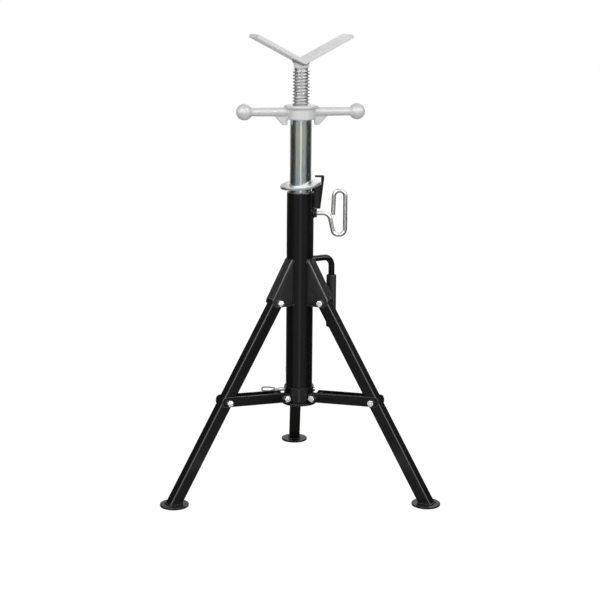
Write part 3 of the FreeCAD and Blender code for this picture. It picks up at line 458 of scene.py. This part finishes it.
for number, way in enumerate(leg_ways, start=1):
    eased(f"leg_bracket_{number}", 0.0007, sheet_coat, "upright", way, bend=0.004,
          is_bend=channel_bend((0.87, 0, 0.49)))
    turned = Matrix.Rotation(math.radians(way), 3, "Z")
    for side, name in ((-1, "a"), (1, "b")):
        down = [turned @ Vector((seam_out, side * seam_side, seam_top - seam_long * part))
                for part in steps(62)]
        weld(f"flange_weld_{number}{name}", down, 0.0019, black_coat, "upright")
    across = [turned @ on_circle(bead_round, turn, web_bead_level) for turn in web_bead_turns]
    weld(f"web_weld_{number}", across, 0.0015, black_coat, "upright")

# ---- Ring hook and pin boss
# A notched plate on edge that carries the friction ring, and a round boss for the height pin.
# Both are steel, welded to the tube and coated with it. Above the tube's rim the back of the
# hook reaches a little further in.

hook = eased("ring_hook", 0.0007, black_coat, "upright")
only(hook)
back_low, back_high = 0.6744, 0.6880
bpy.ops.object.mode_set(mode="EDIT")
for level in (back_low, back_high):
    bpy.ops.mesh.select_all(action="SELECT")
    bpy.ops.mesh.bisect(plane_co=(0, 0, level), plane_no=(0, 0, 1))
bpy.ops.mesh.select_mode(type="FACE")
bpy.ops.mesh.select_all(action="DESELECT")
plate = bmesh.from_edit_mesh(hook.data)
for side in plate.faces:
    middle = side.calc_center_median()
    side.select_set(middle.x < tube_round + 0.0003 and abs(middle.y) < 0.0027
                    and back_low + 0.0001 < middle.z < back_high - 0.0001)
bmesh.update_edit_mesh(hook.data)
bpy.ops.mesh.extrude_region_move(TRANSFORM_OT_translate={"value": (-0.0048, 0, 0)})
bpy.ops.object.mode_set(mode="OBJECT")
hook_seam_side, hook_seam_top, hook_seam_long = 0.0036, 0.671, 0.034
for side, name in ((-1, "a"), (1, "b")):
    down = [Vector((tube_round + 0.0004, side * hook_seam_side,
                    hook_seam_top - hook_seam_long * part)) for part in steps(22)]
    weld(f"hook_weld_{name}", down, 0.0015, black_coat, "upright")

ripple = 0.0032


def saddle_weld(name, way, level, around, radius):
    """A bead round a rod that stands out from the tube, following the tube's curve."""
    turned = Matrix.Rotation(math.radians(way), 3, "Z")
    path = []
    for turn in steps(2 * round(around * math.pi / ripple)):
        out = around * math.cos(turn * math.tau)
        path.append(turned @ Vector((math.sqrt(tube_round ** 2 - out ** 2) + 0.0004, out,
                                     level + around * math.sin(turn * math.tau))))
    weld(name, path, radius, black_coat, "upright", closed=True)


pin_level = 0.6255
eased("pin_boss", 0.0006, black_coat, "upright")
saddle_weld("boss_weld", 0, pin_level, 0.0099, 0.0012)

# ---- Carry handle
# A bent steel rod, black like the tube and welded to it, with a rubber grip pushed over its
# hanging end. The rubber is dull and finely grained.

handle_way, handle_level = 30, 0.519
dress(nodes["carry_handle"], black_coat)
saddle_weld("handle_weld", handle_way, handle_level, 0.0073, 0.0016)
rubber, place = new_finish("black_rubber")
settle(rubber, Roughness=0.62, Specular_IOR_Level=0.35,
       Base_Color=tint(noise(place, 30, 3), (0.009, 0.009, 0.009, 1), (0.016, 0.016, 0.016, 1)),
       Normal=relief(noise(place, 900, 4), 0.25))
eased("handle_grip", 0.0008, rubber, "upright")

# ---- Mast
# Zinc-plated steel tube that slides in the upright and carries the nut, the screw and the head.
# Fine marks of drawing run along it, and fine turned marks run round it.


def plating(name, cool, warm, rough, metallic=1.0):
    """Zinc plating: bluish and yellowish clouds over drawn or turned steel."""
    material, place = new_finish(name)
    clouds = sharpen(noise(place, 20, 3), 0.4, 0.62)
    spots = noise(place, 90, 4)
    drawn = noise(place, 260, 3, (1, 1, 0.04))
    rings = noise(place, 420, 3, (0.03, 0.03, 1))
    return settle(material, Base_Color=tint(clouds, cool, warm), Metallic=metallic,
                  Roughness=rough + drawn * 0.08 + rings * 0.1 + spots * 0.04,
                  Normal=relief(drawn + rings * 0.5, 0.18, Normal=rounded(place, 0.0008)))


zinc = plating("bright_zinc", (0.58, 0.64, 0.68, 1), (0.70, 0.71, 0.63, 1), rough=0.08)
dress(nodes["mast_tube"], zinc)

# ---- Friction ring
# Punched steel plate in dull zinc. It hangs tilted in the hook's notch, so that its hole grips
# the mast, and lets the mast slide when it is lifted level.

dull_zinc = plating("dull_zinc", (0.40, 0.405, 0.41, 1), (0.46, 0.455, 0.44, 1), rough=0.38)
eased("friction_ring", 0.0006, dull_zinc, "friction_ring")

# ---- Height pin
# Zinc-plated round rod that goes through the boss and the tube to lock the mast. Outside it is
# bent round into a closed bow for the hand.


def in_plane(*corners):
    """Points in the plane Y = 0, from their distances out and their heights."""
    return [Vector((out, 0, height)) for out, height in corners]


def bent_rod(name, corners, radii, thick, material, body):
    """A round rod bent at each inner corner to its radius, with chamfered ends."""
    line = bpy.data.curves.new(name, "CURVE")
    line.dimensions = "3D"
    line.resolution_u = 14
    line.bevel_depth = thick / 2
    line.bevel_resolution = 6
    line.use_fill_caps = True
    knots = [(corners[0], corners[0], corners[0])]
    for before, corner, after, radius in zip(corners, corners[1:], corners[2:], radii):
        back, ahead = (before - corner).normalized(), (after - corner).normalized()
        turn = math.pi - back.angle(ahead)
        reach = radius * math.tan(turn / 2)
        pull = reach - radius * 4 / 3 * math.tan(turn / 4)
        knots.append((corner + back * reach, corner + back * reach, corner + back * pull))
        knots.append((corner + ahead * reach, corner + ahead * pull, corner + ahead * reach))
    knots.append((corners[-1], corners[-1], corners[-1]))
    run = line.splines.new("BEZIER")
    run.bezier_points.add(len(knots) - 1)
    for point, (spot, left, right) in zip(run.bezier_points, knots):
        point.handle_left_type = point.handle_right_type = "FREE"
        point.co, point.handle_left, point.handle_right = spot, left, right
    rod = placed(name, line)
    only(rod)
    bpy.ops.object.convert(target="MESH")
    round_edges(rod, thick * 0.1, segments=2, over=60)
    bpy.ops.object.shade_smooth_by_angle(angle=smooth_under)
    dress(rod, material)
    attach(rod, body)
    return rod


rod_zinc = plating("rod_zinc", (0.47, 0.475, 0.48, 1), (0.53, 0.52, 0.495, 1), rough=0.22)
bow = in_plane((0.0255, pin_level), (0.0645, pin_level), (0.0752, 0.577), (0.1005, 0.577),
               (0.1005, 0.6765), (0.0755, 0.6765), (0.0732, 0.6222))
pin = bent_rod("height_pin_bow", bow, (0.017, 0.0115, 0.0125, 0.0125, 0.0124), 0.0096, rod_zinc,
               "height_pin")
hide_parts("height_pin")

# ---- Legs and feet
# Square steel tube in black coat, with a spacer tube in the head for the pivot bolt. A round foot
# is welded to the lower end, with a bead all round the tube.

leg_end = Vector((0.32104, 0, 0.0056))
half_deep, half_wide, corner_round = 0.0122, 0.0100, 0.0036
corners = []
for quarter, (out, across) in enumerate(((1, 1), (-1, 1), (-1, -1), (1, -1))):
    for bend in (0, 0.5, 1):
        swing = math.radians(90 * (quarter + bend))
        corners.append(Vector((out * half_deep + corner_round * math.cos(swing),
                               across * half_wide + corner_round * math.sin(swing), 0)))
for number, way in enumerate(leg_ways, start=1):
    dress(nodes[f"leg_{number}"], black_coat)
    dress(nodes[f"leg_bush_{number}"], black_coat)
    eased(f"foot_{number}", 0.0009, black_coat, f"leg_{number}")
    turned = Matrix.Rotation(math.radians(way), 3, "Z")
    path = []
    for start, stop in zip(corners, corners[1:] + corners[:1]):
        count = max(1, round((stop - start).length / (ripple / 2)))
        path += [turned @ (leg_end + start.lerp(stop, part)) for part in steps(count)]
    weld(f"foot_weld_{number}", path, 0.0017, black_coat, f"leg_{number}", closed=True)

# ---- Braces
# Pressed steel channels in the same black, one a leg, pinned to the collar's ears at their inner
# end and to the leg at their outer end.

for number, way in enumerate(leg_ways, start=1):
    eased(f"strut_{number}", 0.0007, black_coat, f"strut_{number}", way, bend=0.0035,
          is_bend=channel_bend((-0.07, 0, 1)))

# ---- Collar
# A black steel sleeve that slides on the upright, with six ears welded on for the braces, a guide
# screw, and a lock pin with a pull loop of dark spring wire.

# Its sharp edges get almost no painted highlight (colour 0.01).
sleeve_coat = coat("black_sleeve_coat", near=0.003, far=0.0065, rounding=0.0006, rough=0.12,
                   painted_edge_highlight=0.01)
eased("collar_sleeve", 0.0003, sleeve_coat, "collar")
eased("collar_ears", 0.0006, black_coat, "collar")
eased("collar_screw", 0.0004, rod_zinc, "collar")
eased("lock_pin", 0.0005, rod_zinc, "lock_pin")
dark_wire = plating("dark_spring_wire", (0.07, 0.07, 0.072, 1), (0.11, 0.105, 0.1, 1), rough=0.2)
loop = in_plane((-0.0465, 0.2195), (-0.0525, 0.2195), (-0.0655, 0.2153), (-0.0845, 0.2153),
                (-0.0845, 0.2240), (-0.0665, 0.2240), (-0.0550, 0.2216))
pull = bent_rod("lock_clip_loop", loop, (0.006, 0.006, 0.0042, 0.0042, 0.006), 0.003, dark_wire,
                "lock_pin")
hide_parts("lock_clip")

# ---- Fasteners
# Zinc-plated hexagon bolts with locking nuts, M8: a head with turned corners and a washer face,
# and a nut whose upper end is a round collar closed over a nylon ring.

across_flats = 0.013
across_turned_corners = 0.015
shank_round = 0.004
bolt_zinc = plating("bolt_zinc", (0.82, 0.83, 0.84, 1), (0.85, 0.84, 0.81, 1), rough=0.36)


def upright_bar(name, sides, radius, low, high):
    """A plain bar along Z, selected and active."""
    bpy.ops.object.select_all(action="DESELECT")
    bpy.ops.mesh.primitive_cylinder_add(vertices=sides, radius=radius, depth=high - low,
                                        location=(0, 0, (low + high) / 2))
    bar = bpy.context.object
    bar.name = name
    bpy.ops.object.transform_apply(location=True, rotation=True, scale=True)
    return bar


def hexagon(name, low, high):
    """A hexagonal block along Z with its outer corners turned off."""
    block = upright_bar(name, 6, across_flats / math.sqrt(3), low, high)
    blank = upright_bar("turned_blank", 48, across_turned_corners / 2, low, high)
    bpy.ops.object.mode_set(mode="EDIT")
    bpy.ops.mesh.select_all(action="DESELECT")
    bpy.ops.mesh.select_mode(type="EDGE")
    bpy.ops.object.mode_set(mode="OBJECT")
    for rim in blank.data.edges:
        ends = [blank.data.vertices[end].co for end in rim.vertices]
        rim.select = abs(ends[0].z - ends[1].z) < 1e-6
    bpy.ops.object.mode_set(mode="EDIT")
    bpy.ops.mesh.bevel(offset=0.0008, segments=2)
    bpy.ops.object.mode_set(mode="OBJECT")
    only(block)
    shave = block.modifiers.new("shave", "BOOLEAN")
    shave.operation = "INTERSECT"
    shave.object = blank
    bpy.ops.object.modifier_apply(modifier="shave")
    bpy.data.objects.remove(blank)
    return block


def turned_round(name, radius, low, high, ease):
    """A round length of rod along Z with both rims chamfered."""
    rod = upright_bar(name, 40, radius, low, high)
    round_edges(rod, ease, segments=2, over=60)
    return rod


def joined(name, *pieces):
    """One mesh of the pieces, smooth where it's round."""
    bpy.ops.object.select_all(action="DESELECT")
    for piece in pieces:
        piece.select_set(True)
    bpy.context.view_layer.objects.active = pieces[0]
    bpy.ops.object.join()
    whole = bpy.context.object
    whole.name = name
    bpy.ops.object.shade_smooth_by_angle(angle=smooth_under)
    dress(whole, bolt_zinc)
    return whole


def bolt(shank_end):
    """A bolt along Z, its head below 0 and its shank above."""
    return joined("bolt", hexagon("bolt", -0.0053, -0.0004),
                  turned_round("washer", 0.0061, -0.0005, 0, 0.0001),
                  turned_round("shank", shank_round, -0.001, shank_end, 0.0007))


def locking_nut():
    """A nut along Z from 0: a hexagon, then a round collar turned in at the top."""
    return joined("nut", hexagon("nut", 0, 0.0056),
                  turned_round("collar", 0.006, 0.005, 0.008, 0.0009))


def fitted(model, name, way, out, across, height):
    """A copy of a model laid along Y in the plane of one leg, in place, with its own mesh."""
    piece = placed(name, model.data.copy())
    piece.data.transform(Matrix.Rotation(math.radians(way), 4, "Z")
                         @ Matrix.Translation((out, across, height))
                         @ Matrix.Rotation(math.radians(-90), 4, "X")
                         @ Matrix.Rotation(math.radians(30), 4, "Z"))
    return piece


through_bolt = bolt(0.0425)
short_bolt = bolt(0.0027)
plain_nut = locking_nut()
outer_nut = joined("outer_nut", locking_nut(),
                   turned_round("stub", shank_round, -0.0027, 0.0105, 0.0007))

# The through bolts' heads and nuts stand 0.12 mm off the sheet, clear of the turning braces.
sheet_side = 0.016
clear_side = 0.01612
for label, out, height, body in (("pivot", 0.0605, 0.428, "upright"),
                                 ("collar", 0.042, 0.2065, "collar")):
    for kind, model, across in (("bolts", through_bolt, -clear_side),
                                ("nuts", plain_nut, clear_side)):
        row = [fitted(model, f"{kind}_{way}", way, out, across, height) for way in leg_ways]
        whole = joined(f"{label}_{kind}_turned", *row)
        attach(whole, body)
        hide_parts(f"{label}_{kind}")
brace_end_out, brace_end_level = 0.18945, 0.21675
for number, way in enumerate(leg_ways, start=1):
    for kind, model, across in (("bolt", short_bolt, -sheet_side),
                                ("nut", outer_nut, sheet_side)):
        piece = fitted(model, f"strut_{kind}_{number}_turned", way, brace_end_out, across,
                       brace_end_level)
        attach(piece, f"strut_{number}")
        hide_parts(f"strut_{kind}_{number}")
for model in (through_bolt, short_bolt, plain_nut, outer_nut):
    bpy.data.objects.remove(model)

# ---- Jack screw
# A solid steel screw with a trapezoidal thread, zinc-plated and a little duller than the mast.
# It stands in the nut and carries the head.

thread_zinc = plating("thread_zinc", (0.45, 0.455, 0.46, 1), (0.48, 0.48, 0.475, 1), rough=0.2,
                      metallic=0.75)
dress(nodes["jack_screw"], thread_zinc)

# ---- Head
# A thick steel plate bent to a V, in light grey coat, on a plain neck of the same colour. Two
# rounds of weld, a darker grey than the coat, fill the joint between them.


def grey_paint(name, dim, pale, silver):
    """Light grey paint, a little patchy and sandy; silver is its share of metal flake."""
    material, place = new_finish(name)
    patches = noise(place, 30, 4)
    colour = tint(patches, (dim, dim, dim * 1.01, 1), (pale, pale, pale, 1))
    return settle(material, Base_Color=colour, Roughness=0.5 + patches * 0.12,
                  Specular_IOR_Level=0.22, Metallic=silver,
                  Normal=relief(noise(place, 260, 3), 0.05, Normal=rounded(place, 0.0012)))


def at_groove(flank, face, middle):
    """Tells the two edges along the bottom of the V."""
    return abs(flank.y) < 0.2 and abs(middle.x) < 0.002 and flank.x * face.x < 0


grey_coat = grey_paint("light_grey_coat", 0.60, 0.68, silver=0.0)
head_way = 16.5
eased("v_head", 0.0009, grey_coat, "jack_screw", head_way, bend=0.006, is_bend=at_groove)
eased("screw_neck", 0.0006, grey_coat, "jack_screw")
darker_grey_weld, place = new_finish("darker_grey_weld")
settle(darker_grey_weld, Roughness=0.5,
       Base_Color=tint(noise(place, 160, 3), (0.2, 0.197, 0.193, 1), (0.36, 0.355, 0.35, 1)))
head_turned = Matrix.Rotation(math.radians(head_way), 3, "Z")
plate_slope = math.tan(math.radians(27.5))
groove_under, groove_soft = 0.95642, 0.0030
for layer, (around, drop, radius) in enumerate(((0.0187, 0.0006, 0.0027),
                                                (0.0177, 0.0040, 0.0020))):
    under = []
    for turn in steps(72):
        along = around * math.cos(turn * math.tau)
        level = groove_under + math.hypot(along * plate_slope, groove_soft) - drop
        under.append(head_turned @ on_circle(around, turn * math.tau, level))
    weld(f"head_weld_{layer}", under, radius, darker_grey_weld, "jack_screw", closed=True)

# ---- Jack nut
# An iron casting in the same light grey, with two ball-ended arms and a fin under each. Its bore
# is threaded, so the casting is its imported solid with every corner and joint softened.

cast_coat = grey_paint("cast_grey_coat", 0.54, 0.60, silver=0.25)
cast = opened_copy("jack_nut", "jack_nut_casting")
close_copy()
mould = cast.modifiers.new("mould", "REMESH")
mould.mode = "VOXEL"
mould.voxel_size = 0.0011
bpy.ops.object.modifier_apply(modifier="mould")
soften = cast.modifiers.new("soften", "SMOOTH")
soften.factor = 0.5
soften.iterations = 8
bpy.ops.object.modifier_apply(modifier="soften")
bpy.ops.object.shade_smooth()
dress(cast, cast_coat)
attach(cast, "jack_nut")
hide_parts("jack_nut")
